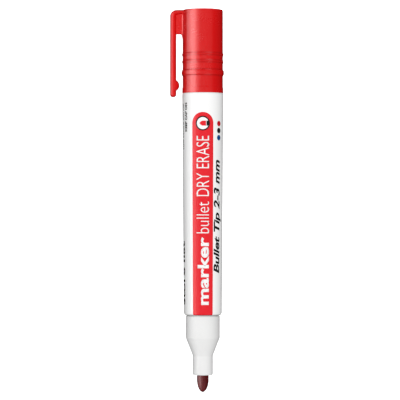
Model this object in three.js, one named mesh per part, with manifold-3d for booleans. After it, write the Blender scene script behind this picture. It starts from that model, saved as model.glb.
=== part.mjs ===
// Whiteboard marker, lying on its side with its cap posted on the tail.
//
// Millimetres. +X runs along the marker from the nib to the closed end of the cap, the clip points
// to +Y and +Z is up. The origin is on the table, under the middle of the marker's box.
// A station is a distance along the marker's axis, counted from the tip of the nib.
// A reach is a distance out from that axis.

import * as THREE from "three";
import { mergeVertices } from "three/addons/utils/BufferGeometryUtils.js";
import Module from "manifold-3d";

const wasm = await Module();
wasm.setup();

// ---------------------------------------------------------------- driving dimensions

const LENGTH = 152.96; // tip of the nib to the closed end of the posted cap
const SIDES = 48; // facets round every turned piece, with flats to +Y, -Y, +Z and -Z
const ARC_STEPS = 6; // straight steps in each rounded corner

const NIB = { radius: 2.27, point: 4.8, roundness: 0.55, end: 46, chamfer: 0.8 };

const NOSE = {
  face: 6.64,
  faceRadius: 3.75,
  chamfer: 0.55,
  tubeRadius: 4.05,
  coneStart: 14.56,
  coneEnd: 21.84,
  radius: 6.72,
  back: 39,
  backChamfer: 0.5,
  channelRadius: 2.35,
  channelEnd: 17,
  chamberStart: 23,
  chamberRadius: 5.4,
};

const BARREL = {
  front: 30.7,
  back: 119.5,
  frontRadius: 7.53,
  backRadius: 8.16,
  cornerLength: 1.1,
  cornerHeight: 0.72,
  frontBore: 6.78,
  backBore: 7.06,
};

const FILM = { gap: 0.02, thickness: 0.08, back: 119.1 };

const CORE = { front: 39.4, back: 112, radius: 5.95, socketRadius: 2.45, socketEnd: 47.5 };
const WRAP = { gap: 0.06, thickness: 0.14 };
const BREATHER = { radius: 0.75, wall: 0.25, clearance: 0.1, reach: 4.6, sides: 12 };

const PLUG = {
  front: 112.4,
  shoulder: 119.4,
  end: 133.2,
  spigotRadius: 6.98,
  postRadius: 6.55,
  corner: 0.6,
  boreRadius: 5.6,
  endWall: 1.2,
  ribs: 6,
  ribWidth: 0.7,
  ribReach: 6.67,
  ribStart: 120.6,
  ribEnd: 131.5,
};

const CAP = {
  mouth: 119.5,
  end: LENGTH,
  radius: 8.06,
  boreRadius: 6.75,
  endWall: 1.36,
  corner: 0.45,
  flareRadius: 8.2,
  flareEnd: 121.7,
  leadIn: 0.35,
};

// Grip rings round the cap: middle station, half width and height above the cap's wall.
const GRIP_RINGS = [
  { station: 127.9, halfWidth: 1.2, height: 0.44 },
  { station: 132.4, halfWidth: 0.55, height: 0.16 },
  { station: 135.3, halfWidth: 0.55, height: 0.2 },
];

const LINER = {
  mouth: 138,
  flangeEnd: 139.2,
  flangeRadius: 6.69,
  wallRadius: 5,
  boreRadius: 4.12,
  lipRadius: 4,
  lipStation: 139.6,
  floor: 150.4,
  end: 151.4,
};

const CLIP = {
  tip: 118.2,
  innerReach: 10.78,
  outerReach: 13.12,
  width: 4.4,
  edge: 0.4,
  outerCorner: 2.8,
  bridge: 1.8,
  root: 6.9,
  pivot: 142.2,
  pivotGap: 0.1,
  bumpStation: 122.8,
  bumpReach: 9.44,
  bumpRadius: 2.4,
};

const WEB = { end: 143.2, width: 1.6, fillet: 1.5, root: 7.2 };

// ---------------------------------------------------------------- where the axis lies

const FLAT = Math.cos(Math.PI / SIDES); // share of a facet corner's radius at which its flat lies
const widestReach = (CAP.radius + GRIP_RINGS[0].height) * FLAT;
const axisY = (widestReach - CLIP.outerReach) / 2;
const axisZ = widestReach;

// ---------------------------------------------------------------- shape helpers

// Points [station, radius] on an elliptic arc between two angles, in degrees, where 0 points along
// the axis to larger stations and 90 points outwards.
function arc(station, radius, alongAxis, outwards, from, to) {
  return Array.from({ length: ARC_STEPS + 1 }, (_, i) => {
    const angle = THREE.MathUtils.degToRad(from + ((to - from) * i) / ARC_STEPS);
    return [station + alongAxis * Math.cos(angle), radius + outwards * Math.sin(angle)];
  });
}

// A solid turned about the marker's axis from a profile of [station, radius] points. A profile that
// starts off the axis is closed into a ring.
function turned(profile) {
  const points = profile.map(([station, radius]) => new THREE.Vector2(radius, station));
  if (points[0].x > 0) points.push(points[0].clone());
  if (THREE.ShapeUtils.area(points) < 0) points.reverse();
  return new THREE.LatheGeometry(points, SIDES, Math.PI / SIDES).rotateZ(-Math.PI / 2);
}

// A side outline in stations and reaches, carried across the marker's middle plane to both sides.
function plate(outline, width, edge) {
  const settings = {
    depth: width - 2 * edge,
    bevelEnabled: edge > 0,
    bevelThickness: edge,
    bevelSize: edge,
    bevelOffset: -edge,
    bevelSegments: 2,
    curveSegments: 16,
  };
  return new THREE.ExtrudeGeometry(outline, settings).translate(0, 0, edge - width / 2);
}

// A box between two stations and two reaches, on both sides of the middle plane.
function block(stations, reaches, width) {
  const box = new THREE.BoxGeometry(stations[1] - stations[0], reaches[1] - reaches[0], width);
  return box.translate((stations[0] + stations[1]) / 2, (reaches[0] + reaches[1]) / 2, 0);
}

// A closed geometry as a solid that can be joined and cut.
function solid(geometry) {
  const bare = geometry.index ? geometry.toNonIndexed() : geometry.clone();
  bare.deleteAttribute("normal");
  bare.deleteAttribute("uv");
  const merged = mergeVertices(bare);
  const mesh = new wasm.Mesh({
    numProp: 3,
    vertProperties: merged.attributes.position.array,
    triVerts: new Uint32Array(merged.index.array),
  });
  return new wasm.Manifold(mesh);
}

// A joined or cut solid as a geometry again.
function geometryOf(made) {
  const mesh = made.getMesh();
  const geometry = new THREE.BufferGeometry();
  geometry.setAttribute("position", new THREE.BufferAttribute(mesh.vertProperties, 3));
  geometry.setIndex(new THREE.BufferAttribute(mesh.triVerts, 1));
  return geometry;
}

// ---------------------------------------------------------------- writing end

// Felt rod with a bullet point: the radius falls to the tip as (1 - t^2)^0.55 over the point.
function makeNib() {
  const steps = 10;
  const point = Array.from({ length: steps + 1 }, (_, i) => {
    const share = (i / steps) ** 2;
    const t = 1 - share;
    return [NIB.point * share, NIB.radius * (1 - t * t) ** NIB.roundness];
  });
  return turned([
    ...point,
    [NIB.end - NIB.chamfer, NIB.radius],
    [NIB.end, NIB.radius - NIB.chamfer],
    [NIB.end, 0],
  ]);
}

// Nib holder: a tube, a cone and a cylinder whose back end is pushed into the barrel.
function makeNose() {
  return turned([
    [NOSE.face, NOSE.channelRadius],
    [NOSE.face, NOSE.faceRadius],
    [NOSE.face + NOSE.chamfer, NOSE.tubeRadius],
    [NOSE.coneStart, NOSE.tubeRadius],
    [NOSE.coneEnd, NOSE.radius],
    [NOSE.back - NOSE.backChamfer, NOSE.radius],
    [NOSE.back, NOSE.radius - NOSE.backChamfer],
    [NOSE.back, NOSE.chamberRadius],
    [NOSE.chamberStart, NOSE.chamberRadius],
    [NOSE.channelEnd, NOSE.channelRadius],
  ]);
}

// ---------------------------------------------------------------- barrel and what it holds

// Outline of the barrel's outside from the rounded front corner to a back station, moved out by
// a distance.
function barrelOutside(out, back) {
  const corner = BARREL.frontRadius - BARREL.cornerHeight;
  const slope = (BARREL.backRadius - BARREL.frontRadius) / (BARREL.back - BARREL.front);
  const middle = BARREL.front + BARREL.cornerLength;
  const backRadius = BARREL.frontRadius + slope * (back - middle);
  return [
    ...arc(middle, corner, BARREL.cornerLength + out, BARREL.cornerHeight + out, 180, 90),
    [back, backRadius + out],
  ];
}

function makeBarrel() {
  return turned([
    [BARREL.front, BARREL.frontBore],
    ...barrelOutside(0, BARREL.back),
    [BARREL.back, BARREL.backBore],
  ]);
}

// Printed shrink film, drawn tight over the barrel and round its front corner.
function makeFilm() {
  const outside = barrelOutside(FILM.gap + FILM.thickness, FILM.back);
  const inside = barrelOutside(FILM.gap, FILM.back);
  return turned([...outside, ...inside.reverse()]);
}

// Rod of ink-soaked fibre with a socket for the nib and a channel for the breather tube.
function makeCore() {
  const rod = turned([
    [CORE.socketEnd, 0],
    [CORE.socketEnd, CORE.socketRadius],
    [CORE.front, CORE.socketRadius],
    [CORE.front, CORE.radius],
    [CORE.back, CORE.radius],
    [CORE.back, 0],
  ]);
  const channelRadius = BREATHER.radius + BREATHER.clearance;
  const channel = new THREE.CylinderGeometry(channelRadius, channelRadius, LENGTH, BREATHER.sides);
  channel.rotateZ(Math.PI / 2).translate(CORE.front, 0, BREATHER.reach);
  return geometryOf(solid(rod).subtract(solid(channel)));
}

// Thin plastic tube that lets air back along the fibre rod.
function makeBreather() {
  const inside = BREATHER.radius - BREATHER.wall;
  const profile = [
    [inside, CORE.front],
    [BREATHER.radius, CORE.front],
    [BREATHER.radius, CORE.back],
    [inside, CORE.back],
    [inside, CORE.front],
  ];
  const points = profile.map(([radius, station]) => new THREE.Vector2(radius, station));
  const tube = new THREE.LatheGeometry(points, BREATHER.sides, 0);
  return tube.rotateZ(-Math.PI / 2).translate(0, 0, BREATHER.reach);
}

// Plastic film rolled round the fibre rod.
function makeWrap() {
  const inside = CORE.radius + WRAP.gap;
  const outside = inside + WRAP.thickness;
  return turned([
    [CORE.front, inside],
    [CORE.front, outside],
    [CORE.back, outside],
    [CORE.back, inside],
  ]);
}

// Tail plug: a spigot in the barrel's open back and a ribbed post that the cap is pushed on to.
function makePlug() {
  const bore = PLUG.end - PLUG.endWall;
  const body = turned([
    [bore, 0],
    [bore, PLUG.boreRadius],
    [PLUG.front, PLUG.boreRadius],
    [PLUG.front, PLUG.spigotRadius],
    [PLUG.shoulder, PLUG.spigotRadius],
    [PLUG.shoulder, PLUG.postRadius],
    ...arc(PLUG.end - PLUG.corner, PLUG.postRadius - PLUG.corner, PLUG.corner, PLUG.corner, 90, 0),
    [PLUG.end, 0],
  ]);
  const middleReach = (PLUG.boreRadius + PLUG.postRadius) / 2;
  let plug = solid(body);
  for (let i = 0; i < PLUG.ribs; i++) {
    const rib = block([PLUG.ribStart, PLUG.ribEnd], [middleReach, PLUG.ribReach], PLUG.ribWidth);
    rib.rotateX((2 * Math.PI * (i + 0.5)) / PLUG.ribs);
    plug = plug.add(solid(rib));
  }
  return geometryOf(plug);
}

// ---------------------------------------------------------------- cap

// A grip ring as half an ellipse on the cap's wall, from its mouth side to its end side.
function gripRing({ station, halfWidth, height }) {
  return arc(station, CAP.radius, halfWidth, height, 180, 0);
}

// Side outline of the whole clip: the bridge from the cap's end, the arm and the bump near its tip.
function clipOutline() {
  const tipRadius = (CLIP.outerReach - CLIP.innerReach) / 2;
  const bumpMiddle = CLIP.bumpReach + CLIP.bumpRadius;
  const bumpAngle = Math.asin((bumpMiddle - CLIP.innerReach) / CLIP.bumpRadius);
  const bumpHalf = CLIP.bumpRadius * Math.cos(bumpAngle);
  const corner = CLIP.outerCorner;
  const tip = CLIP.tip + tipRadius;
  const outline = new THREE.Shape();
  outline.moveTo(tip, CLIP.innerReach);
  outline.lineTo(CLIP.bumpStation - bumpHalf, CLIP.innerReach);
  outline.absarc(CLIP.bumpStation, bumpMiddle, CLIP.bumpRadius, Math.PI + bumpAngle, -bumpAngle);
  outline.lineTo(CAP.end - CLIP.bridge, CLIP.innerReach);
  outline.lineTo(CAP.end - CLIP.bridge, CLIP.root);
  outline.lineTo(CAP.end, CLIP.root);
  outline.lineTo(CAP.end, CLIP.outerReach - corner);
  outline.absarc(CAP.end - corner, CLIP.outerReach - corner, corner, 0, Math.PI / 2);
  outline.lineTo(tip, CLIP.outerReach);
  outline.absarc(tip, CLIP.innerReach + tipRadius, tipRadius, Math.PI / 2, 1.5 * Math.PI);
  return outline;
}

// Thin web that fills the corner between the bridge, the arm's root and the cap's wall.
function webOutline() {
  const outline = new THREE.Shape();
  outline.moveTo(WEB.end - WEB.fillet, WEB.root);
  outline.lineTo(CAP.end - CLIP.bridge / 2, WEB.root);
  outline.lineTo(CAP.end - CLIP.bridge / 2, CLIP.innerReach + CLIP.edge);
  outline.lineTo(WEB.end, CLIP.innerReach + CLIP.edge);
  outline.lineTo(WEB.end, CAP.radius + WEB.fillet / 2);
  outline.quadraticCurveTo(WEB.end, CAP.radius, WEB.end - WEB.fillet, CAP.radius - CLIP.edge / 4);
  return outline;
}

// The part of the clip that flexes: everything on the tip side of the pivot, ending in a round
// knuckle about the pivot. A gap makes the solid that is cut away to seat that knuckle.
function armSpace(gap) {
  const halfThickness = (CLIP.outerReach - CLIP.innerReach) / 2;
  const radius = halfThickness + gap;
  const knuckle = new THREE.CylinderGeometry(radius, radius, 2 * CLIP.width, 32);
  knuckle.rotateX(Math.PI / 2).translate(CLIP.pivot, CLIP.innerReach + halfThickness, 0);
  const beyond = block([0, CLIP.pivot], [0, 2 * CLIP.outerReach], 2 * CLIP.width);
  return solid(knuckle).add(solid(beyond));
}

function makeClipArm() {
  const clip = solid(plate(clipOutline(), CLIP.width, CLIP.edge));
  return geometryOf(clip.intersect(armSpace(0)));
}

// Cap: a cup with grip rings, and the fixed root of the clip.
function makeCap() {
  const floor = CAP.end - CAP.endWall;
  const cup = turned([
    [floor, 0],
    [floor, CAP.boreRadius],
    [CAP.mouth + CAP.leadIn, CAP.boreRadius],
    [CAP.mouth, CAP.boreRadius + CAP.leadIn],
    [CAP.mouth, CAP.flareRadius],
    [CAP.flareEnd, CAP.radius],
    ...GRIP_RINGS.flatMap(gripRing),
    ...arc(CAP.end - CAP.corner, CAP.radius - CAP.corner, CAP.corner, CAP.corner, 90, 0),
    [CAP.end, 0],
  ]);
  const clipRoot = solid(plate(clipOutline(), CLIP.width, CLIP.edge)).subtract(armSpace(CLIP.pivotGap));
  const web = solid(plate(webOutline(), WEB.width, 0));
  return geometryOf(solid(cup).add(clipRoot).add(web));
}

// Soft inner cup that seals round the nose when the cap is on the writing end.
function makeLiner() {
  return turned([
    [LINER.floor, 0],
    [LINER.floor, LINER.boreRadius],
    [LINER.lipStation + 0.8, LINER.boreRadius],
    [LINER.lipStation, LINER.lipRadius],
    [LINER.mouth + 0.7, LINER.boreRadius],
    [LINER.mouth, LINER.boreRadius + 0.4],
    [LINER.mouth, LINER.flangeRadius],
    [LINER.flangeEnd, LINER.flangeRadius],
    [LINER.flangeEnd, LINER.wallRadius],
    [LINER.end, LINER.wallRadius],
    [LINER.end, 0],
  ]);
}

// ---------------------------------------------------------------- assembly

const FINISHES = {
  whitePlastic: { color: 0xf1f1f0, roughness: 0.32, metalness: 0 },
  printedFilm: { color: 0xf7f7f6, roughness: 0.22, metalness: 0 },
  redPlastic: { color: 0xd72021, roughness: 0.28, metalness: 0 },
  inkedFelt: { color: 0x5e2126, roughness: 0.85, metalness: 0 },
  inkedFibre: { color: 0xb3262c, roughness: 0.95, metalness: 0 },
  clearFilm: { color: 0xe9e4df, roughness: 0.25, metalness: 0 },
  softLiner: { color: 0xefefec, roughness: 0.5, metalness: 0 },
};

const PIECES = [
  ["barrel", makeBarrel, "whitePlastic"],
  ["print_sleeve", makeFilm, "printedFilm"],
  ["nose", makeNose, "whitePlastic"],
  ["nib", makeNib, "inkedFelt"],
  ["reservoir_core", makeCore, "inkedFibre"],
  ["reservoir_wrap", makeWrap, "clearFilm"],
  ["breather_tube", makeBreather, "softLiner"],
  ["tail_plug", makePlug, "whitePlastic"],
  ["cap_shell", makeCap, "redPlastic"],
  ["clip_arm", makeClipArm, "redPlastic"],
  ["inner_cap", makeLiner, "softLiner"],
];

const axis = new THREE.Group();
axis.position.set(-LENGTH / 2, axisY, axisZ);
for (const [name, make, finish] of PIECES) {
  const piece = new THREE.Mesh(make(), new THREE.MeshStandardMaterial(FINISHES[finish]));
  piece.name = name;
  axis.add(piece);
}

const marker = new THREE.Group();
marker.add(axis);

export default marker;
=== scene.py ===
"""A whiteboard marker lying on a pale floor with its cap posted on its tail.

Lengths are in millimetres along the marker until a mesh is made, and metres after that. A station
is a distance along the axis from the tip of the nib. A reach is a distance out from the axis. An
angle goes round the axis: 0 is the top, positive angles turn away from the clip's side.
"""
import math

import bmesh
import bpy
import numpy as np
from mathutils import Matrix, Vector


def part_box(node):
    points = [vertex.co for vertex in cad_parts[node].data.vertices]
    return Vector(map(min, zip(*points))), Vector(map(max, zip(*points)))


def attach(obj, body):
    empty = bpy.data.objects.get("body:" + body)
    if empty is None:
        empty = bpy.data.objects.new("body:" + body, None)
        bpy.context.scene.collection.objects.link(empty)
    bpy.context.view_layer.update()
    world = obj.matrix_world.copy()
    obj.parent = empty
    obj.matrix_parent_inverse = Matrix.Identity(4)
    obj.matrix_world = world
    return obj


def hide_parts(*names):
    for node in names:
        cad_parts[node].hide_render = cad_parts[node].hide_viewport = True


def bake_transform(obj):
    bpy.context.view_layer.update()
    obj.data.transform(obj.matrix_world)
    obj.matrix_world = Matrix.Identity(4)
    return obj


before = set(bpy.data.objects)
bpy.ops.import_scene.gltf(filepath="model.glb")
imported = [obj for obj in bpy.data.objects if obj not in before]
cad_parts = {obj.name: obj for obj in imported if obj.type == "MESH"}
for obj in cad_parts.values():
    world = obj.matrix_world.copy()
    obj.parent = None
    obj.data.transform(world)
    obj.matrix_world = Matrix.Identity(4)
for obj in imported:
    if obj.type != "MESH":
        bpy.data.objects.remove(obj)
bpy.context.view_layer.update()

MM = 0.001

# ------------------------------------------------------------------ sizes read from the frame

CAD_FACETS = 48
FLAT_SHARE = math.cos(math.pi / CAD_FACETS)
NIB_LOW, NIB_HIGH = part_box("nib")
TIP_X = NIB_LOW.x
AXIS_Y = (NIB_LOW.y + NIB_HIGH.y) / 2
AXIS_Z = (NIB_LOW.z + NIB_HIGH.z) / 2


def front(node):
    """Station of a node's end nearest the nib."""
    return (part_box(node)[0].x - TIP_X) / MM


def back(node):
    """Station of a node's end nearest the cap's closed end."""
    return (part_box(node)[1].x - TIP_X) / MM


def reach(node):
    """Radius of a turned node, from its flats."""
    return (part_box(node)[1].z - AXIS_Z) / MM / FLAT_SHARE


NIB_RADIUS = reach("nib")
NIB_END = back("nib")
NIB_POINT = 4.8
NIB_SWELL = 0.08  # the soaked felt stands out by this in front of the nose
NIB_LONGER = 0.3
NIB_POWER = 0.52

NOSE_FACE = front("nose")
NOSE_BACK = back("nose")
NOSE_RADIUS = reach("nose")
NOSE_TUBE = 4.05
NOSE_CONE = (14.4, 21.5)  # first and last station
NOSE_SHOULDER = 0.1  # the cylinder stands out by this in front of the barrel
NOSE_GROOVE = 0.3
NOSE_CHANNEL = NIB_RADIUS + 0.06
NOSE_CHANNEL_START = 12
NOSE_CHAMBER = 5.4
NOSE_CHAMBER_CONE = (17, 23)  # first and last station

BARREL_FRONT = front("barrel")
BARREL_BACK = back("barrel")
BARREL_RADIUS = reach("barrel")
BARREL_FRONT_RADIUS = 7.53
BARREL_CORNER = (1.1, 0.72)  # length along the axis and height
BARREL_BORE = (6.78, 7.06)  # radius at the front and at the back

FILM_GAP = 0.02
FILM_RADIUS = reach("print_sleeve")
FILM_BACK = back("print_sleeve")
FILM_THICKNESS = 0.08

CORE_FRONT = front("reservoir_core")
CORE_BACK = back("reservoir_core")
CORE_RADIUS = reach("reservoir_core")
CORE_SOCKET = (2.45, 47.5)  # radius and last station
CORE_DRAWN_IN = 0.08
CORE_FLUTES = (36, 0.05)  # number and height
BREATHER_LOW, BREATHER_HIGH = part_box("breather_tube")
BREATHER_REACH = ((BREATHER_LOW.z + BREATHER_HIGH.z) / 2 - AXIS_Z) / MM
BREATHER_RADIUS = (BREATHER_HIGH.z - BREATHER_LOW.z) / 2 / MM
BREATHER_WALL = 0.25
WRAP_RADIUS = reach("reservoir_wrap")
WRAP_THICKNESS = 0.14
WRAP_RIPPLE = 0.02

PLUG_FRONT = front("tail_plug")
PLUG_END = back("tail_plug")
PLUG_SHOULDER = BARREL_BACK - 0.1
PLUG_SPIGOT = reach("tail_plug")
PLUG_POST = 6.55
PLUG_RIB = 6.67
PLUG_RIBS = 6
PLUG_RIB_HALF_WIDTH = 0.35
PLUG_RIB_ENDS = (120.2, 132.2)
PLUG_END_WALL = 1.2
PLUG_BORE = 5.6

CAP_MOUTH = front("cap_shell")
CAP_END = back("cap_shell")
CAP_RADIUS = 8.06
CAP_BORE = 6.75
CAP_FLARE = (8.2, CAP_MOUTH + 2.2)  # radius and last station
CAP_END_WALL = 1.36
CAP_DIMPLE = 0.22
GRIP_BEAD = (127.65, 1.2, 0.44)  # middle station, half width and height of each ring
GRIP_WAVES = ((132.05, 0.95, 0.24), (134.95, 0.95, 0.24))
# painted shade: the cap's colour is darkened round these stations at the feet of the grip rings, where
# shade falls
CREASE_SHADE_HALF_WIDTH = 0.3
CREASE_SHADE_STRENGTH = 0.38
SHADED_CREASES = [GRIP_BEAD[0] + side * (GRIP_BEAD[1] + 0.05) for side in (-1, 1)]
SHADED_CREASES += [wave[0] + side * 0.5 * wave[1] for wave in GRIP_WAVES for side in (-1, 1)]

LINER_MOUTH = front("inner_cap")
LINER_END = back("inner_cap")
LINER_FLANGE = reach("inner_cap")
LINER_WALL = 5.0
LINER_BORE = 4.12
LINER_LIP = 4.0

CLIP_LOW, CLIP_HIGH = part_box("clip_arm")
CLIP_TIP = front("clip_arm")
CLIP_OUTER = (CLIP_HIGH.y - AXIS_Y) / MM
CLIP_INNER = 10.64
CLIP_BUMP = (122.65, (CLIP_LOW.y - AXIS_Y) / MM)  # station and reach of its top
CLIP_BUMP_RADIUS = 2.4
CLIP_WIDTH = (CLIP_HIGH.z - CLIP_LOW.z) / MM
CLIP_BRIDGE = 1.8
CLIP_CORNER = 2.8
CLIP_POWER = 2.2
CLIP_DOME_POWER = 2.7
CLIP_STEP = 0.12
CLIP_LONGER = 0.2
WEB_END = 143.2
WEB_WIDTH = 1.6
WEB_FILLET = (2.2, 0.75)  # length along the axis and height
WEB_ROUNDNESS = 0.35

# ------------------------------------------------------------------ profiles


def unit(vector):
    return vector / np.linalg.norm(vector)


def rounded(corners, steps=8):
    """Profile points through corners (station, radius, rounding): a corner with a rounding becomes
    an arc of that radius that is tangent to both of its sides."""
    points = []
    for before, corner, after in zip(corners[:1] + corners[:-1], corners, corners[1:] + corners[-1:]):
        here = np.array(corner[:2], float)
        if corner[2] == 0:
            points.append(here)
            continue
        towards = unit(np.array(before[:2]) - here)
        onwards = unit(np.array(after[:2]) - here)
        half = math.acos(np.clip(towards @ onwards, -1, 1)) / 2
        centre = here + unit(towards + onwards) * corner[2] / math.sin(half)
        start = here + towards * corner[2] / math.tan(half) - centre
        end = here + onwards * corner[2] / math.tan(half) - centre
        turn = math.atan2(start[0] * end[1] - start[1] * end[0], start @ end)
        swing = np.linspace(0, turn, steps + 1)
        points += list(
            centre
            + np.outer(np.cos(swing), start)
            + np.outer(np.sin(swing), [-start[1], start[0]])
        )
    return np.array(points)


def filled(points, spacing=1.5, hold=0.04):
    """Adds points along the long straight runs of a profile, and one close to each end of them, so
    that smooth shading stays flat there."""
    runs = []
    for start, end in zip(points[:-1], points[1:]):
        length = np.linalg.norm(end - start)
        if length < 4 * hold:
            shares = np.array([0.0])
        else:
            inner = np.linspace(hold / length, 1 - hold / length, max(2, int(length / spacing) + 1))
            shares = np.concatenate([[0.0], inner])
        runs.append(start + np.outer(shares, end - start))
    return np.vstack(runs + [points[-1:]])


def half_ellipse(station, base, half_width, height, steps=10):
    """A bead on a straight wall: half an ellipse, from its low station to its high one."""
    angle = np.linspace(math.pi, 0, steps + 1)
    return np.column_stack([station + half_width * np.cos(angle), base + height * np.sin(angle)])


def soft_wave(station, base, half_width, height, steps=14):
    """A low wave on a straight wall: one period of a cosine, from its low station to its high one."""
    share = np.linspace(-1, 1, steps + 1)
    lift = height * (0.5 + 0.5 * np.cos(math.pi * share))
    return np.column_stack([station + half_width * share, base + lift])


def squared_circle(angle, power):
    """The two shares of a circle, each raised to a power under 1, which squares the circle up."""
    across, aside = np.cos(angle), np.sin(angle)
    return np.sign(across) * np.abs(across) ** power, np.sign(aside) * np.abs(aside) ** power


# ------------------------------------------------------------------ surfaces to meshes


def mesh_piece(name, grid, wrap_rows=False, wrap_columns=True, sharp=32):
    """A mesh piece from a grid of points. Rows or columns may wrap round, and a first or last row
    whose points all meet becomes a pole."""
    rows, columns = grid.shape[:2]
    index = np.arange(rows * columns).reshape(rows, columns)
    for row in (0, -1):
        if not wrap_rows and np.ptp(grid[row], axis=0).max() < 1e-9:
            index[row] = index[row, 0]
    if wrap_rows:
        index = np.vstack([index, index[:1]])
    if wrap_columns:
        index = np.hstack([index, index[:, :1]])
    corners = np.stack([index[:-1, :-1], index[1:, :-1], index[1:, 1:], index[:-1, 1:]], axis=-1)
    quads = corners.reshape(-1, 4)
    first_pole = quads[:, 0] == quads[:, 3]
    last_pole = quads[:, 1] == quads[:, 2]
    whole = quads[~first_pole & ~last_pole]
    faces = whole.tolist() + quads[first_pole][:, :3].tolist() + quads[last_pole][:, [0, 1, 3]].tolist()
    mesh = bpy.data.meshes.new(name)
    used, renumbered = np.unique(np.concatenate([np.ravel(face) for face in faces]), return_inverse=True)
    sizes = np.cumsum([len(face) for face in faces])[:-1]
    faces = [face.tolist() for face in np.split(renumbered.reshape(-1), sizes)]
    mesh.from_pydata(grid.reshape(-1, 3)[used].tolist(), [], faces)
    return finished(name, mesh, sharp)


def finished(name, mesh, sharp=32):
    """The object of a mesh, smooth except over edges sharper than an angle in degrees."""
    outward = bmesh.new()
    outward.from_mesh(mesh)
    bmesh.ops.recalc_face_normals(outward, faces=outward.faces)
    outward.to_mesh(mesh)
    outward.free()
    mesh.polygons.foreach_set("use_smooth", np.ones(len(mesh.polygons), bool))
    mesh.set_sharp_from_angle(angle=math.radians(sharp))
    piece = bpy.data.objects.new(name, mesh)
    bpy.context.scene.collection.objects.link(piece)
    return piece


def placed(station, radius, angle):
    """Points in metres: x runs along the axis, and (reach, angle) turn about it from the top."""
    x = TIP_X + station * MM
    y = AXIS_Y - radius * MM * np.sin(angle)
    z = AXIS_Z + radius * MM * np.cos(angle)
    return np.stack(np.broadcast_arrays(x, y, z), axis=-1)


def turned(name, profile, sides=192, ring=False, swell=None):
    """A surface of revolution: a profile point (s, r) goes to station s at reach r for every angle
    of a full turn. A ring's profile closes on itself. swell(s, r, angle) gives extra reach."""
    angle = np.linspace(0, 2 * math.pi, sides, endpoint=False)[None, :]
    points = profile[:-1] if ring else profile
    station, radius = points[:, :1], points[:, 1:]
    extra = 0 if swell is None else swell(station, radius, angle)
    return mesh_piece(name, placed(station, radius + extra, angle), wrap_rows=ring)


def lathe_profile(corners, spacing=1.5):
    return filled(rounded(corners), spacing)


# ------------------------------------------------------------------ finishes


class Signal:
    """A node's output in a finish, so that sums on it are written as Python and become nodes."""

    def __init__(self, finish, socket):
        self.finish = finish
        self.socket = socket

    def math(self, operation, *others):
        inputs = dict(enumerate((self, *others)))
        return self.finish.node("ShaderNodeMath", {"operation": operation}, inputs)

    def __add__(self, other):
        return self.math("ADD", other)

    def __sub__(self, other):
        return self.math("SUBTRACT", other)

    def __mul__(self, other):
        return self.math("MULTIPLY", other)

    def __truediv__(self, other):
        return self.math("DIVIDE", other)

    def __rsub__(self, other):
        return self.finish.node("ShaderNodeMath", {"operation": "SUBTRACT"}, {0: other, 1: self})

    __radd__ = __add__
    __rmul__ = __mul__

    def size(self):
        return self.math("ABSOLUTE")

    def least(self, other):
        return self.math("MINIMUM", other)

    def most(self, other):
        return self.math("MAXIMUM", other)

    def root(self):
        return self.math("SQRT")

    def below(self, edge, softness):
        """1 where the signal is under the edge, 0 over it, with a soft step between."""
        settings = {"interpolation_type": "SMOOTHSTEP"}
        ends = {"Value": self, "From Min": edge - softness, "From Max": edge + softness}
        ends |= {"To Min": 1.0, "To Max": 0.0}
        return self.finish.node("ShaderNodeMapRange", settings, ends)


class Finish:
    """A node material built round one Principled shader."""

    def __init__(self, name, **constants):
        self.material = bpy.data.materials.new(name)
        self.material.use_nodes = True
        self.tree = self.material.node_tree
        self.shader = self.tree.nodes["Principled BSDF"]
        for socket, value in constants.items():
            self.shader.inputs[socket.replace("_", " ")].default_value = value
        self.place = self.node("ShaderNodeTexCoord", output="Object")

    def node(self, kind, settings=None, inputs=None, output=0):
        made = self.tree.nodes.new(kind)
        for setting, value in (settings or {}).items():
            setattr(made, setting, value)
        for socket, value in (inputs or {}).items():
            self.feed(made.inputs[socket], value)
        return Signal(self, made.outputs[output])

    def feed(self, socket, value):
        if isinstance(value, Signal):
            self.tree.links.new(value.socket, socket)
        else:
            socket.default_value = value

    def set(self, socket, value):
        self.feed(self.shader.inputs[socket], value)

    def noise(self, size, detail=3.0, stretch=(1, 1, 1), roughness=0.5):
        """Noise in grains of a size in millimetres, stretched by a share along each axis."""
        scale = tuple(1 / (MM * size * share) for share in stretch)
        spread = self.node("ShaderNodeMapping", None, {"Vector": self.place, "Scale": scale})
        inputs = {"Vector": spread, "Scale": 1.0, "Detail": detail, "Roughness": roughness}
        return self.node("ShaderNodeTexNoise", None, inputs)

    def mix(self, share, first, second):
        """A colour between two colours."""
        inputs = {"Factor": share, 6: first, 7: second}
        return self.node("ShaderNodeMix", {"data_type": "RGBA"}, inputs, output=2)

    def bump(self, height, depth):
        """Relief from a height signal from 0 to 1, with its full depth in millimetres."""
        inputs = {"Height": height, "Distance": depth * MM, "Strength": 1.0}
        self.set("Normal", self.node("ShaderNodeBump", None, inputs))

    def around(self):
        """Signals for the station in millimetres and the angle round the axis in radians."""
        split = self.node("ShaderNodeSeparateXYZ", None, {"Vector": self.place})
        x = Signal(self, split.socket.node.outputs["X"])
        y = Signal(self, split.socket.node.outputs["Y"])
        z = Signal(self, split.socket.node.outputs["Z"])
        station = (x - TIP_X) / MM
        angle = (AXIS_Y - y).math("ARCTAN2", z - AXIS_Z)
        return station, angle


def shade(colour, share):
    """A colour made lighter or darker, as RGBA."""
    return tuple(min(1.0, part * share) for part in colour[:3]) + (1.0,)


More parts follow.
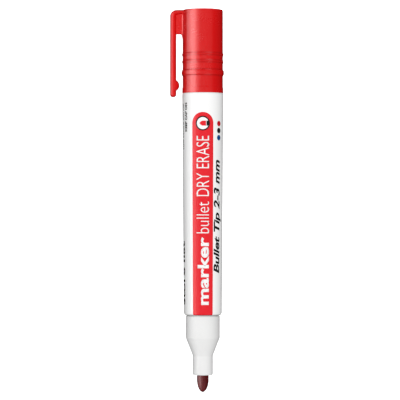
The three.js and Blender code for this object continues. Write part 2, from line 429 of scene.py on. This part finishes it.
def moulded_plastic(name, colour, roughness, gloss, shaded_creases=()):
    """Smooth moulded plastic: faint cloudy colour, uneven gloss and the fine waviness of a mould, with
    painted shade: the colour is darkened in a narrow band round each listed station."""
    finish = Finish(name, Specular_IOR_Level=gloss)
    cloud = finish.noise(9, detail=2)
    grain = finish.noise(0.35, detail=2)
    wave = finish.noise(2.2, detail=1, stretch=(2.5, 1, 1))
    tone = finish.mix(cloud, shade(colour, 0.96), shade(colour, 1.04))
    if shaded_creases:
        station, _ = finish.around()
        nearest = (station - shaded_creases[0]).size()
        for place in shaded_creases[1:]:
            nearest = nearest.least((station - place).size())
        # painted shade: a darker colour in a band round the nearest listed station
        crease = nearest.below(CREASE_SHADE_HALF_WIDTH, 0.3) * CREASE_SHADE_STRENGTH
        tone = finish.mix(crease, tone, shade(colour, 0.55))
    finish.set("Base Color", tone)
    finish.set("Roughness", roughness - 0.03 + cloud * 0.04 + grain * 0.02)
    finish.bump(wave * 0.7 + grain * 0.3, 0.006)
    return finish.material


def felt(name, colour, fibre, depth):
    """Pressed fibres that run along the marker, darker where ink stands between them."""
    finish = Finish(name, Specular_IOR_Level=0.4)
    strands = finish.noise(fibre, detail=4, stretch=(9, 1, 1), roughness=0.65)
    blotch = finish.noise(1.6, detail=2, stretch=(1.6, 1, 1))
    tone = (strands * 0.6 + blotch * 0.4).below(0.5, 0.22)
    finish.set("Base Color", finish.mix(tone, shade(colour, 1.45), shade(colour, 0.62)))
    finish.set("Roughness", 0.34 + strands * 0.25)
    finish.bump(strands, depth)
    return finish.material


WHITE = (0.945, 0.945, 0.94, 1)
PRINT_RED = (0.77, 0.02, 0.03, 1)
PRINT_BLACK = (0.012, 0.012, 0.013, 1)
PRINT_BLUE = (0.002, 0.065, 0.25, 1)
DOT_RED = (0.55, 0.004, 0.014, 1)
BAND_HALF_ANGLE = math.radians(31)
BAND_END = 111.65
PRINT_REACH = 8.2
ICON_STATION = 107.2
ICON_RADIUS = 2.4
ICON_LINE = 0.5
ICON_NIB_HALF_WIDTH = 1.0
ICON_NIB_ROUND = (0.1, 1.5)  # where the sign's nib starts to round, and over what length
ICON_NIB_BACK = 1.3
ICON_COLLAR_FRONT = 1.5
DOT_ANGLE = math.radians(52)
DOT_RADIUS = 1.1
DOTS = ((107.15, DOT_RED), (104.35, PRINT_BLACK), (101.5, PRINT_BLUE))
INK_EDGE = 0.035
# painted shade: the film's colour turns dark grey over this length behind the barrel's front, where shade
# falls at the corner
EDGE_SHADE_LENGTH = 0.16
PAINTED_EDGE_SHADE = (0.05, 0.045, 0.045, 1)
SEAM_ANGLE = math.radians(150)
SEAM_WIDTH = 1.6


def printed_film():
    """Glossy white film printed with a red round-ended band, a nib sign in a disc and three dots, with
    painted shade darkening it towards its front edge.
    """
    finish = Finish("printed_film", Specular_IOR_Level=0.16)
    station, angle = finish.around()
    arc = angle * PRINT_REACH
    half_band = BAND_HALF_ANGLE * PRINT_REACH
    past = (station - (BAND_END - half_band)).most(0.0)
    band = (arc * arc + past * past).root().below(half_band, INK_EDGE)
    along = station - ICON_STATION
    from_icon = (arc * arc + along * along).root()
    outline = from_icon.below(ICON_RADIUS + ICON_LINE, INK_EDGE)
    disc = from_icon.below(ICON_RADIUS, INK_EDGE)
    nib_front = (arc - ICON_NIB_ROUND[0]).least(0.0) / ICON_NIB_ROUND[1]
    half_width = ICON_NIB_HALF_WIDTH * (1 - nib_front * nib_front)
    bullet = (along.size() - half_width).below(0.0, INK_EDGE) * arc.below(ICON_NIB_BACK, INK_EDGE)
    beside_collar = (along.size() - ICON_NIB_HALF_WIDTH).below(0.0, INK_EDGE)
    collar = beside_collar * (ICON_COLLAR_FRONT - arc).below(0.0, INK_EDGE) * outline
    colour = finish.mix(band, WHITE, PRINT_RED)
    colour = finish.mix(outline, colour, PRINT_BLACK)
    colour = finish.mix(disc, colour, WHITE)
    colour = finish.mix(bullet * disc, colour, PRINT_RED)
    colour = finish.mix(collar, colour, PRINT_BLACK)
    ink = band
    for dot_station, dot_colour in DOTS:
        offset = station - dot_station
        aside = (angle - DOT_ANGLE) * PRINT_REACH
        dot = (offset * offset + aside * aside).root().below(DOT_RADIUS, INK_EDGE)
        colour = finish.mix(dot, colour, dot_colour)
        ink = ink.most(dot)
    cloud = finish.noise(6, detail=2)
    wrinkle = finish.noise(1.4, detail=2, stretch=(6, 1, 1))
    # painted shade at the film's front corner, not a mark of the film itself
    edge_shade = station.below(BARREL_FRONT + EDGE_SHADE_LENGTH, 0.18)
    finish.set("Base Color", finish.mix(edge_shade * 0.88, colour, PAINTED_EDGE_SHADE))
    finish.set("Roughness", 0.2 + cloud * 0.05 - ink * 0.03)
    finish.bump(wrinkle * 0.6 + ink * 0.4, 0.006)
    return finish.material


def print_ink(name, colour):
    """Printed ink with a slightly uneven laydown."""
    finish = Finish(name, Specular_IOR_Level=0.2)
    laydown = finish.noise(0.5, detail=3)
    finish.set("Base Color", finish.mix(laydown, shade(colour, 0.94), shade(colour, 1.06)))
    finish.set("Roughness", 0.22 + laydown * 0.06)
    finish.bump(laydown, 0.002)
    return finish.material


def rolled_film(name):
    """Thin clear film rolled round the fibres: cloudy, creased along its length."""
    finish = Finish(name, IOR=1.5, Coat_Weight=0.4)
    crease = finish.noise(1.1, detail=4, stretch=(7, 1, 1), roughness=0.6)
    finish.set("Base Color", finish.mix(crease, (0.74, 0.45, 0.43, 1), (0.9, 0.78, 0.76, 1)))
    finish.set("Roughness", 0.18 + crease * 0.15)
    finish.set("Alpha", 0.62 + crease * 0.2)
    finish.bump(crease, 0.03)
    return finish.material


CAP_RED = (0.66, 0.0018, 0.0022)
RED_PLASTIC = moulded_plastic("red_plastic", CAP_RED, 0.27, 0.5)
# the cap's plastic, with painted shade round the feet of its grip rings
CAP_PLASTIC = moulded_plastic("red_ringed", CAP_RED, 0.27, 0.5, SHADED_CREASES)
CLIP_PLASTIC = moulded_plastic("red_satin", CAP_RED, 0.42, 0.36)
WHITE_PLASTIC = moulded_plastic("white_plastic", (0.8, 0.8, 0.795), 0.48, 0.12)
SOFT_PLASTIC = moulded_plastic("soft_plastic", (0.8, 0.8, 0.77), 0.5, 0.3)
NIB_FELT = felt("nib_felt", (0.088, 0.003, 0.004), 0.09, 0.02)
INKED_FIBRE = felt("inked_fibre", (0.36, 0.012, 0.02), 0.16, 0.06)
WRAP_FILM = rolled_film("wrap_film")
PRINTED_FILM = printed_film()
WHITE_INK = print_ink("white_ink", (0.93, 0.93, 0.92))
BLACK_INK = print_ink("black_ink", (0.012, 0.012, 0.013))
GREY_INK = print_ink("grey_ink", (0.14, 0.14, 0.15))


def stand_for(piece, node, body, material):
    """Puts a finished piece on its body in place of a node."""
    piece.data.materials.append(material)
    if body:
        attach(piece, body)
    if node:
        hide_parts(node)
    return piece


# ------------------------------------------------------------------ writing end


def make_nib():
    """Felt rod of reach R whose point has reach R (1 - t^2)^0.52, with t from 1 at the tip to 0 at
    the rod. Two sines of the angle furrow it by less than a twentieth of a millimetre."""
    share = np.linspace(0, 1, 44) ** 2
    swollen = NIB_RADIUS + NIB_SWELL
    bullet_station = (NIB_POINT + NIB_LONGER) * share - NIB_LONGER
    bullet = np.column_stack([bullet_station, swollen * (1 - (1 - share) ** 2) ** NIB_POWER])
    rod = lathe_profile([
        (NIB_POINT, swollen, 0),
        (NOSE_FACE - 0.15, swollen, 0.1),
        (NOSE_FACE, NIB_RADIUS, 0.1),
        (NIB_END, NIB_RADIUS, 0.5),
        (NIB_END, 0, 0),
    ])
    profile = np.vstack([bullet, rod[1:]])

    def pressed(station, radius, angle):
        furrow = np.sin(17 * angle + 0.8 * np.sin(station * 1.7)) + 0.6 * np.sin(29 * angle + station * 0.4)
        return 0.012 * furrow * np.clip(radius / NIB_RADIUS, 0, 1) * np.clip(station / 1.5, 0, 1)

    nib = turned("bullet_nib", profile, 160, swell=pressed)
    return stand_for(nib, "nib", "nib", NIB_FELT)


def make_nose():
    """Nib holder turned from its outline: tube, cone, cylinder with a groove where it enters the
    barrel, and the hollow behind the nib's channel."""
    shoulder = NOSE_RADIUS + NOSE_SHOULDER
    groove = NOSE_RADIUS - NOSE_GROOVE
    profile = lathe_profile([
        (NOSE_CHANNEL_START, NOSE_CHANNEL, 0),
        (NOSE_FACE, NOSE_CHANNEL, 0.12),
        (NOSE_FACE, NOSE_TUBE - 0.2, 0.1),
        (NOSE_FACE + 0.45, NOSE_TUBE, 0.4),
        (NOSE_CONE[0], NOSE_TUBE, 1.2),
        (NOSE_CONE[1], shoulder, 1.6),
        (BARREL_FRONT - 0.55, shoulder, 0.08),
        (BARREL_FRONT - 0.35, groove, 0.08),
        (BARREL_FRONT + 0.5, groove, 0.08),
        (BARREL_FRONT + 0.7, NOSE_RADIUS, 0.08),
        (NOSE_BACK - 0.5, NOSE_RADIUS, 0.2),
        (NOSE_BACK, NOSE_RADIUS - 0.5, 0.2),
        (NOSE_BACK, NOSE_CHAMBER, 0.15),
        (NOSE_CHAMBER_CONE[1], NOSE_CHAMBER, 0.8),
        (NOSE_CHAMBER_CONE[0], NOSE_CHANNEL, 0.8),
        (NOSE_CHANNEL_START, NOSE_CHANNEL, 0),
    ])
    nose = turned("nib_holder", profile, ring=True)
    return stand_for(nose, "nose", "barrel", WHITE_PLASTIC)


# ------------------------------------------------------------------ barrel and what it holds


def barrel_outside(out, end):
    """Outline of the barrel's outside moved out by a distance: a quarter ellipse round the front
    corner, then a straight taper to the end station."""
    angle = np.linspace(math.pi, math.pi / 2, 15)
    middle = BARREL_FRONT + BARREL_CORNER[0]
    corner = np.column_stack([
        middle + (BARREL_CORNER[0] + out) * np.cos(angle),
        BARREL_FRONT_RADIUS - BARREL_CORNER[1] + (BARREL_CORNER[1] + out) * np.sin(angle),
    ])
    slope = (BARREL_RADIUS - BARREL_FRONT_RADIUS) / (BARREL_BACK - BARREL_FRONT)
    last = [end, BARREL_FRONT_RADIUS + slope * (end - middle) + out]
    return np.vstack([corner, [last]])


def make_barrel():
    """Barrel tube turned from its tapered outside and its tapered bore."""
    outside = barrel_outside(0, BARREL_BACK - 0.12)
    rim = rounded([
        (BARREL_BACK - 1, outside[-1, 1], 0),
        (BARREL_BACK, BARREL_RADIUS, 0.15),
        (BARREL_BACK, BARREL_BORE[1], 0.15),
        (BARREL_FRONT, BARREL_BORE[0], 0.06),
        (BARREL_FRONT, (BARREL_BORE[0] + BARREL_FRONT_RADIUS - BARREL_CORNER[1]) / 2, 0),
    ])
    start = rim[-1:]
    profile = filled(np.vstack([start, outside[:-1], rim]))
    barrel = turned("barrel_tube", profile, ring=True)
    return stand_for(barrel, "barrel", "barrel", WHITE_PLASTIC)


def make_film():
    """Printed sleeve: the barrel's outline moved out by the film's gap and thickness. Where the film
    laps over itself, its outside stands out by a third of the thickness in a smooth low ridge."""
    outside = barrel_outside(FILM_GAP + FILM_THICKNESS, FILM_BACK)
    inside = barrel_outside(FILM_GAP, FILM_BACK)
    profile = filled(np.vstack([outside, inside[::-1], outside[:1]]), spacing=0.9, hold=0.02)
    line = FILM_GAP + FILM_THICKNESS / 2

    def lapped(station, radius, angle):
        slope = (BARREL_RADIUS - BARREL_FRONT_RADIUS) / (BARREL_BACK - BARREL_FRONT)
        taper = BARREL_FRONT_RADIUS + (station - BARREL_FRONT) * slope
        outer = (radius - taper > line) | (station < BARREL_FRONT)
        across = (angle - SEAM_ANGLE) * radius / SEAM_WIDTH
        ridge = 0.5 * (np.tanh(8 * (across + 0.5)) - np.tanh(8 * (across - 0.5)))
        return np.where(outer, ridge, 0) * FILM_THICKNESS / 3

    film = turned("printed_sleeve", profile, 256, ring=True, swell=lapped)
    return stand_for(film, "print_sleeve", "barrel", PRINTED_FILM)


def make_core():
    """Fibre rod with a socket for the nib. A sine of the angle flutes its surface, and a groove
    shaped like e^-(a^4), with a measured across it, is drawn in round the breather tube."""
    profile = lathe_profile([
        (CORE_SOCKET[1], 0, 0),
        (CORE_SOCKET[1], CORE_SOCKET[0], 0.3),
        (CORE_FRONT, CORE_SOCKET[0], 0.2),
        (CORE_FRONT, CORE_RADIUS - CORE_DRAWN_IN, 0.3),
        (CORE_BACK, CORE_RADIUS - CORE_DRAWN_IN, 0.3),
        (CORE_BACK, 0, 0),
    ])

    def bundles(station, radius, angle):
        outer = np.clip((radius - CORE_SOCKET[0]) / (CORE_RADIUS - CORE_SOCKET[0]), 0, 1)
        flutes = CORE_FLUTES[1] * np.sin(CORE_FLUTES[0] * angle + 0.3 * np.sin(station / 5))
        turn = (angle + math.pi) % (2 * math.pi) - math.pi
        groove = np.exp(-((turn * CORE_RADIUS / (BREATHER_RADIUS + 0.35)) ** 4))
        depth = CORE_RADIUS - BREATHER_REACH + BREATHER_RADIUS + 0.1
        return outer * (flutes - groove * depth)

    core = turned("fibre_reservoir", profile, 288, swell=bundles)
    return stand_for(core, "reservoir_core", "barrel", INKED_FIBRE)


def make_wrap():
    """Film rolled once round the fibres: a thin ring carried along the axis, rippled by the product
    of a sine of the angle and a sine of the station."""
    inside = WRAP_RADIUS - WRAP_THICKNESS
    profile = filled(np.array([
        (CORE_FRONT, inside),
        (CORE_FRONT, WRAP_RADIUS),
        (CORE_BACK, WRAP_RADIUS),
        (CORE_BACK, inside),
        (CORE_FRONT, inside),
    ], float), spacing=1.2)

    def ripple(station, radius, angle):
        return WRAP_RIPPLE * np.sin(9 * angle + station / 7) * np.sin(station / 3)

    wrap = turned("reservoir_film", profile, 160, ring=True, swell=ripple)
    return stand_for(wrap, "reservoir_wrap", "barrel", WRAP_FILM)


def make_breather():
    """Thin tube beside the fibres: a ring profile turned about its own line, above the axis."""
    inside = BREATHER_RADIUS - BREATHER_WALL
    profile = filled(np.array([
        (CORE_FRONT, inside),
        (CORE_FRONT, BREATHER_RADIUS),
        (CORE_BACK, BREATHER_RADIUS),
        (CORE_BACK, inside),
        (CORE_FRONT, inside),
    ], float))[:-1]
    angle = np.linspace(0, 2 * math.pi, 40, endpoint=False)[None, :]
    grid = placed(profile[:, :1], profile[:, 1:], angle) + np.array([0, 0, BREATHER_REACH * MM])
    tube = mesh_piece("breather_straw", grid, wrap_rows=True)
    return stand_for(tube, "breather_tube", "barrel", SOFT_PLASTIC)


def make_plug():
    """Tail plug turned from its outline. Its ribs are bell curves across, e^-(a^2), and rise and
    fall along the post in smooth steps."""
    profile = lathe_profile([
        (PLUG_END - PLUG_END_WALL, 0, 0),
        (PLUG_END - PLUG_END_WALL, PLUG_BORE, 0.5),
        (PLUG_FRONT, PLUG_BORE, 0.2),
        (PLUG_FRONT, PLUG_SPIGOT, 0.35),
        (PLUG_SHOULDER, PLUG_SPIGOT, 0.1),
        (PLUG_SHOULDER, PLUG_POST, 0.08),
        (PLUG_END, PLUG_POST, 0.7),
        (PLUG_END, 0, 0),
    ], spacing=0.6)

    def ribs(station, radius, angle):
        start = np.clip((station - PLUG_RIB_ENDS[0]) / 0.8, 0, 1)
        ends = start * np.clip((PLUG_RIB_ENDS[1] - station) / 1.4, 0, 1)
        wall = np.clip((radius - PLUG_BORE - 0.5) / 0.3, 0, 1)
        aside = np.sin(PLUG_RIBS * angle / 2) * PLUG_POST * 2 / PLUG_RIBS
        ridge = np.exp(-((aside / PLUG_RIB_HALF_WIDTH) ** 2))
        return (PLUG_RIB - PLUG_POST) * ends * ends * (3 - 2 * ends) * wall * ridge

    plug = turned("tail_post", profile, 288, swell=ribs)
    return stand_for(plug, "tail_plug", "barrel", WHITE_PLASTIC)


# ------------------------------------------------------------------ cap


def make_cap():
    """Cap cup turned from its outline: bore, lead-in, flared rim, grip rings and flat closed end
    with the shallow round dimple of the moulding gate."""
    wall = [half_ellipse(GRIP_BEAD[0], CAP_RADIUS, *GRIP_BEAD[1:])]
    wall += [soft_wave(station, CAP_RADIUS, *size) for station, *size in GRIP_WAVES]
    rim = rounded([
        (CAP_END - CAP_END_WALL, 0, 0),
        (CAP_END - CAP_END_WALL, CAP_BORE, 0.4),
        (CAP_MOUTH + 0.35, CAP_BORE, 0.2),
        (CAP_MOUTH, CAP_BORE + 0.35, 0.08),
        (CAP_MOUTH, CAP_FLARE[0], 0.18),
        (CAP_FLARE[1], CAP_RADIUS + 0.13, 0.03),
        (CAP_FLARE[1] + 0.05, CAP_RADIUS, 0.03),
        (CAP_FLARE[1] + 1, CAP_RADIUS, 0),
    ])
    end = rounded([
        (CAP_END - 3, CAP_RADIUS, 0),
        (CAP_END, CAP_RADIUS, 0.45),
        (CAP_END, 1.5, 0.15),
        (CAP_END - CAP_DIMPLE, 1.3, 0.1),
        (CAP_END - CAP_DIMPLE, 0, 0),
    ])
    profile = filled(np.vstack([rim, *wall, end]), spacing=0.8, hold=0.03)
    cap = turned("cap_cup", profile, 224)
    return stand_for(cap, "cap_shell", "cap", CAP_PLASTIC)


def clip_path():
    """Middle line of the clip in (station, reach), from inside the cap's end wall along the bridge,
    round the outer corner and down the arm to the tip, with the half thickness at each point and
    the share of it that is left where the tip closes."""
    arm_half = (CLIP_OUTER - CLIP_INNER) / 2
    bridge_half = CLIP_BRIDGE / 2
    bend = CLIP_CORNER - arm_half
    corners = [
        (CAP_END - bridge_half, CAP_RADIUS - 0.9, 0),
        (CAP_END - bridge_half, CLIP_OUTER - arm_half, bend),
        (CLIP_TIP - CLIP_LONGER, CLIP_OUTER - arm_half, 0),
    ]
    line = rounded(corners, steps=24)
    lengths = np.concatenate([[0], np.cumsum(np.linalg.norm(np.diff(line, axis=0), axis=1))])
    total = lengths[-1]
    travel = np.arange(0, total, CLIP_STEP)
    tip_zone = arm_half * 1.02
    dome = total - tip_zone * (1 - np.sin(np.linspace(0, math.pi / 2, 14)))
    travel = np.concatenate([travel[travel < total - tip_zone - 0.05], dome])
    middle = np.column_stack([np.interp(travel, lengths, line[:, axis]) for axis in (0, 1)])
    turn_start = lengths[1]
    turn_end = turn_start + bend * math.pi / 2
    ease = np.clip((travel - turn_start) / (turn_end - turn_start), 0, 1)
    half = bridge_half + (arm_half - bridge_half) * ease * ease * (3 - 2 * ease)
    ending = np.clip((travel - (total - tip_zone)) / tip_zone, 0, 1)
    shrink = np.clip(1 - ending ** CLIP_DOME_POWER, 0, 1) ** (1 / CLIP_DOME_POWER)
    return travel, middle, half, shrink


def make_clip():
    """Clip carried along its middle line: each section is an oval |a/h|^2.2 + |z/w|^2.2 = 1, with
    half thickness h and half width w, and the tip closes in a blunt dome. Over the bump the inner
    side is pushed towards the axis as far as a circle reaches."""
    travel, middle, half, shrink = clip_path()
    tangent = np.gradient(middle, travel, axis=0)
    tangent /= np.linalg.norm(tangent, axis=1)[:, None]
    normal = np.column_stack([tangent[:, 1], -tangent[:, 0]])
    swing = np.linspace(0, 2 * math.pi, 72, endpoint=False)
    across, aside = squared_circle(swing, 2 / CLIP_POWER)
    thickness = (half * shrink)[:, None] * across[None, :]
    half_width = CLIP_WIDTH / 2 * (0.35 + 0.65 * shrink) * (shrink > 0)
    width = half_width[:, None] * aside[None, :]
    station = middle[:, :1] + normal[:, :1] * thickness
    level = middle[:, 1:] + normal[:, 1:] * thickness
    beside = station - CLIP_BUMP[0]
    under_root = np.clip(CLIP_BUMP_RADIUS ** 2 - beside ** 2, 0, None)
    circle = CLIP_BUMP[1] + CLIP_BUMP_RADIUS - np.sqrt(under_root)
    hump = np.clip(CLIP_INNER - circle, 0, None) * (np.abs(beside) < CLIP_BUMP_RADIUS)
    on_arm = middle[:, :1] < CAP_END - CLIP_CORNER
    arm_middle = (CLIP_OUTER + CLIP_INNER) / 2
    inner_side = np.clip(arm_middle - level, 0, None) / (CLIP_OUTER - arm_middle)
    level = level - hump * inner_side * on_arm
    x = TIP_X + station * MM
    y = AXIS_Y + level * MM
    z = AXIS_Z + width * MM
    clip = mesh_piece("pocket_clip", np.stack([x, y, z], axis=-1), sharp=60)
    stand_for(clip, "clip_arm", None, CLIP_PLASTIC)
    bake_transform(clip)
    return clip


def make_web():
    """Thin web between bridge, arm and cap: an outline in (station, reach) whose lower edge runs
    into the cap's wall in a fillet, carried across the clip's middle plane with rounded edges."""
    foot = CAP_RADIUS - 0.5
    top = CAP_END - CLIP_BRIDGE / 2
    inner = CLIP_INNER + 0.5
    level = np.linspace(foot, inner, 60)
    sweep = np.clip((CAP_RADIUS + WEB_FILLET[1] - level) / WEB_FILLET[1], 0, 1)
    lower = WEB_END - WEB_FILLET[0] * sweep ** 2
    section = np.linspace(0, 2 * math.pi, 64, endpoint=False)
    along, aside = squared_circle(section, WEB_ROUNDNESS)
    middle = (lower + top)[:, None] / 2
    station = middle + (top - lower)[:, None] / 2 * along[None, :]
    flare = 1 + 0.5 * np.clip((CAP_RADIUS + 0.35 - level) / 0.6, 0, 1)[:, None]
    across = WEB_WIDTH / 2 * flare * aside[None, :]
    reaches = np.broadcast_to(level[:, None], station.shape)
    x = TIP_X + station * MM
    y = AXIS_Y + reaches * MM
    z = AXIS_Z + across * MM
    grid = np.stack([x, y, z], axis=-1)
    closed = np.concatenate([
        np.broadcast_to(grid[:1].mean(axis=1, keepdims=True), grid[:1].shape),
        grid,
        np.broadcast_to(grid[-1:].mean(axis=1, keepdims=True), grid[-1:].shape),
    ])
    web = mesh_piece("clip_web", closed)
    return stand_for(web, None, "cap", RED_PLASTIC)


def make_liner():
    """Inner cap turned from its outline: flange, sealing lip, bore and closed floor."""
    profile = lathe_profile([
        (LINER_END - 1, 0, 0),
        (LINER_END - 1, LINER_BORE, 0.6),
        (LINER_MOUTH + 2.4, LINER_BORE, 0.4),
        (LINER_MOUTH + 1.6, LINER_LIP, 0.3),
        (LINER_MOUTH + 0.7, LINER_BORE, 0.3),
        (LINER_MOUTH, LINER_BORE + 0.4, 0.15),
        (LINER_MOUTH, LINER_FLANGE, 0.15),
        (LINER_MOUTH + 1.2, LINER_FLANGE, 0.15),
        (LINER_MOUTH + 1.2, LINER_WALL, 0.3),
        (LINER_END, LINER_WALL, 0.6),
        (LINER_END, 0, 0),
    ])
    liner = turned("sealing_liner", profile)
    return stand_for(liner, "inner_cap", "cap_liner", SOFT_PLASTIC)


# ------------------------------------------------------------------ lettering on the sleeve

INK_STANDS = 0.012
INK_THICKNESS = 0.01
BEND_STRIP = 0.35  # the flat letters are cut into strips this wide, so that they bend round the sleeve
CARE_LINES = (
    "1  wipe the board with a dry cloth",
    "2  keep the cap on when not in use",
    "3  not for use on paper or skin",
)


def film_reach(station):
    """Reach of the sleeve's outside at a station behind its rounded front corner."""
    share = (station - BARREL_FRONT - BARREL_CORNER[0]) / (FILM_BACK - BARREL_FRONT - BARREL_CORNER[0])
    start = BARREL_FRONT_RADIUS + FILM_GAP + FILM_THICKNESS
    return start + (FILM_RADIUS - start) * share


def lettering(name, words, start, length, height, baseline, ink, weight, slant=0.0):
    """Words that read towards the cap, wrapped on the sleeve: a flat point (a, b) of the text goes
    to the station start + a and the angle baseline - b / reach. Lengths are in millimetres, and
    weight and slant are the font's own."""
    text = bpy.data.curves.new(name, "FONT")
    text.body = words
    text.offset = weight
    text.shear = slant
    text.resolution_u = 6
    flat = bpy.data.objects.new(name + "_flat", text)
    bpy.context.scene.collection.objects.link(flat)
    bpy.context.view_layer.update()
    shape = bpy.data.meshes.new_from_object(flat.evaluated_get(bpy.context.evaluated_depsgraph_get()))
    bpy.data.objects.remove(flat)
    work = bmesh.new()
    work.from_mesh(shape)
    bpy.data.meshes.remove(shape)
    points = np.array([v.co[:2] for v in work.verts])
    low, high = points.min(axis=0), points.max(axis=0)
    scale = np.array([length / (high[0] - low[0]), height / (high[1] - low[1])])
    for cut in np.arange(low[1] + BEND_STRIP / scale[1], high[1], BEND_STRIP / scale[1]):
        everything = work.verts[:] + work.edges[:] + work.faces[:]
        bmesh.ops.bisect_plane(work, geom=everything, plane_co=(0, cut, 0), plane_no=(0, 1, 0))
    bmesh.ops.remove_doubles(work, verts=work.verts, dist=1e-5)
    bmesh.ops.triangulate(work, faces=[face for face in work.faces if len(face.verts) > 4])
    mesh = bpy.data.meshes.new(name)
    work.to_mesh(mesh)
    work.free()
    points = np.empty(len(mesh.vertices) * 3, np.float32)
    mesh.vertices.foreach_get("co", points)
    points = (points.reshape(-1, 3)[:, :2].astype(float) - low) * scale
    station = start + points[:, 0]
    radius = film_reach(station) + INK_STANDS
    angle = baseline - points[:, 1] / PRINT_REACH
    mesh.vertices.foreach_set("co", placed(station, radius, angle).astype(np.float32).ravel())
    piece = bpy.data.objects.new(name, mesh)
    bpy.context.scene.collection.objects.link(piece)
    thick = piece.modifiers.new("thickness", "SOLIDIFY")
    thick.thickness = INK_THICKNESS * MM
    thick.offset = -1
    return stand_for(piece, None, "barrel", ink)


def make_lettering():
    """White words along the band, black ones beside it, small print by the cap and care lines on
    the back. Each line has its first station, its length and height, and its baseline's angle."""
    band_height = 5.3
    band = band_height / 2 / PRINT_REACH
    right = math.radians(64)
    left = math.radians(-66)
    lettering("print_kind", "marker", 34.9, 27.0, 4.9, band, WHITE_INK, 0.03)
    lettering("print_style", "bullet", 63.4, 12.6, band_height, band, WHITE_INK, -0.01)
    lettering("print_title", "DRY ERASE", 78.2, 24.0, band_height, band, WHITE_INK, -0.006)
    lettering("print_tip_size", "Bullet Tip 2-3 mm", 47.4, 45.3, 4.4, right, BLACK_INK, 0.034, 0.25)
    lettering("print_small_1", "KEEP CAP ON", 104.0, 11.5, 1.4, math.radians(-50), BLACK_INK, 0.05)
    lettering("print_small_2", "LOW ODOUR RED INK", 97.0, 18.4, 1.2, math.radians(-67), GREY_INK, 0.02)
    lettering("print_side", "store flat", 34.9, 25.4, 4.4, left, BLACK_INK, 0.03)
    for line, words in enumerate(CARE_LINES):
        baseline = math.radians(-158) - line * 0.32
        lettering(f"print_back_{line + 1}", words, 52.0, 44.0, 1.5, baseline, GREY_INK, 0.01)


make_nib()
make_nose()
make_barrel()
make_film()
make_core()
make_wrap()
make_breather()
make_plug()
make_cap()
make_clip()
make_web()
make_liner()
make_lettering()

# ------------------------------------------------------------------ floor, light and camera

BARREL_TOUCH = (BARREL_FRONT + BARREL_CORNER[0], BARREL_FRONT_RADIUS + FILM_GAP + FILM_THICKNESS)
RING_TOUCH = (GRIP_BEAD[0], CAP_RADIUS + GRIP_BEAD[2])
FLOOR_HALF = 3.0
FLOOR_GAP = 0.0001
LIGHT_DISTANCE = 1.0
LIGHT_MIDDLE = 76.0
SUN_RADIANCE = 0.68


def make_floor():
    """Pale floor that touches the marker under the barrel's front and under the largest ring."""
    slope = (RING_TOUCH[1] - BARREL_TOUCH[1]) / (RING_TOUCH[0] - BARREL_TOUCH[0])
    ends = np.array([-FLOOR_HALF, FLOOR_HALF])
    x, y = np.meshgrid(ends, ends, indexing="ij")
    ring_x = TIP_X + RING_TOUCH[0] * MM
    z = AXIS_Z - RING_TOUCH[1] * MM - FLOOR_GAP - (x - ring_x) * slope
    floor = mesh_piece("floor", np.stack([x, y, z], axis=-1), wrap_columns=False)
    finish = Finish("pale_floor", Roughness=0.9, Emission_Color=(1, 1, 1, 1), Emission_Strength=1.0)
    cloud = finish.noise(120, detail=2)
    finish.set("Base Color", finish.mix(cloud, (0.8, 0.8, 0.8, 1), (0.84, 0.84, 0.84, 1)))
    floor.data.materials.append(finish.material)
    floor.visible_diffuse = False
    floor.visible_glossy = False
    floor.visible_shadow = False


def strip_light(name, from_angle, to_angle, radiance, length, along=0.0):
    """A soft strip along the marker between two angles from the top, in degrees, as seen from the
    axis, with its middle set along by a distance; its power is radiance times pi times its area.
    It only makes reflections."""
    station = LIGHT_MIDDLE + along / MM
    distance = LIGHT_DISTANCE / MM
    ends = [placed(station, distance, math.radians(angle)) for angle in (from_angle, to_angle)]
    centre = Vector(sum(ends) / 2)
    breadth = float(np.linalg.norm(ends[1] - ends[0]))
    lamp = bpy.data.lights.new(name, "AREA")
    lamp.shape = "RECTANGLE"
    lamp.size = length
    lamp.size_y = breadth
    lamp.energy = radiance * math.pi * length * breadth
    holder = bpy.data.objects.new(name, lamp)
    bpy.context.scene.collection.objects.link(holder)
    holder.location = centre
    towards = Vector((centre.x, AXIS_Y, AXIS_Z)) - centre
    turn = math.atan2(-towards.y, -towards.z)
    holder.rotation_euler = (-turn, 0, 0)
    holder.visible_camera = False
    holder.visible_diffuse = False
    return holder


def make_lights():
    """Strips on the clip's side and on the far side for the reflections, and a wide soft sun and a
    grey sky that light the colours without showing in the gloss."""
    strip_light("key_strip", -78, -40, 6.8, 2.4)
    strip_light("key_low_edge", -102, -80, 3.0, 1.0)
    strip_light("key_high_edge", -38, -24, 2.0, 1.0)
    strip_light("fill_strip", 26, 56, 0.42, 1.0)
    strip_light("fill_front", 20, 60, 1.5, 1.5, -1.35)
    strip_light("fill_rear", 20, 60, 1.5, 1.5, 1.35)
    sun = bpy.data.lights.new("overhead", "SUN")
    sun.energy = SUN_RADIANCE * math.pi
    sun.angle = math.radians(50)
    holder = bpy.data.objects.new("overhead", sun)
    holder.rotation_euler = (math.radians(2), 0, 0)
    holder.visible_glossy = False
    bpy.context.scene.collection.objects.link(holder)
    world = bpy.data.worlds.new("studio")
    world.use_nodes = True
    world.node_tree.nodes["Background"].inputs["Color"].default_value = (0.4, 0.4, 0.4, 1)
    world.cycles_visibility.glossy = False
    bpy.context.scene.world = world


def make_camera():
    """Long lens above the marker's middle, leaning very slightly towards the cap and the clip."""
    distance = 0.848
    aside = 1.12 * MM
    foot = TIP_X + 70 * MM
    aim = TIP_X + 76.7 * MM
    lens = bpy.data.cameras.new("camera")
    lens.sensor_width = 36
    lens.lens = 190.26
    camera = bpy.data.objects.new("camera", lens)
    bpy.context.scene.collection.objects.link(camera)
    camera.location = (foot, AXIS_Y + aside, AXIS_Z + distance)
    direction = Vector((aim - foot, 0, -distance))
    camera.rotation_mode = "QUATERNION"
    camera.rotation_quaternion = direction.to_track_quat("-Z", "Y")
    bpy.context.scene.camera = camera


make_floor()
make_lights()
make_camera()
bpy.context.scene.view_settings.view_transform = "Standard"
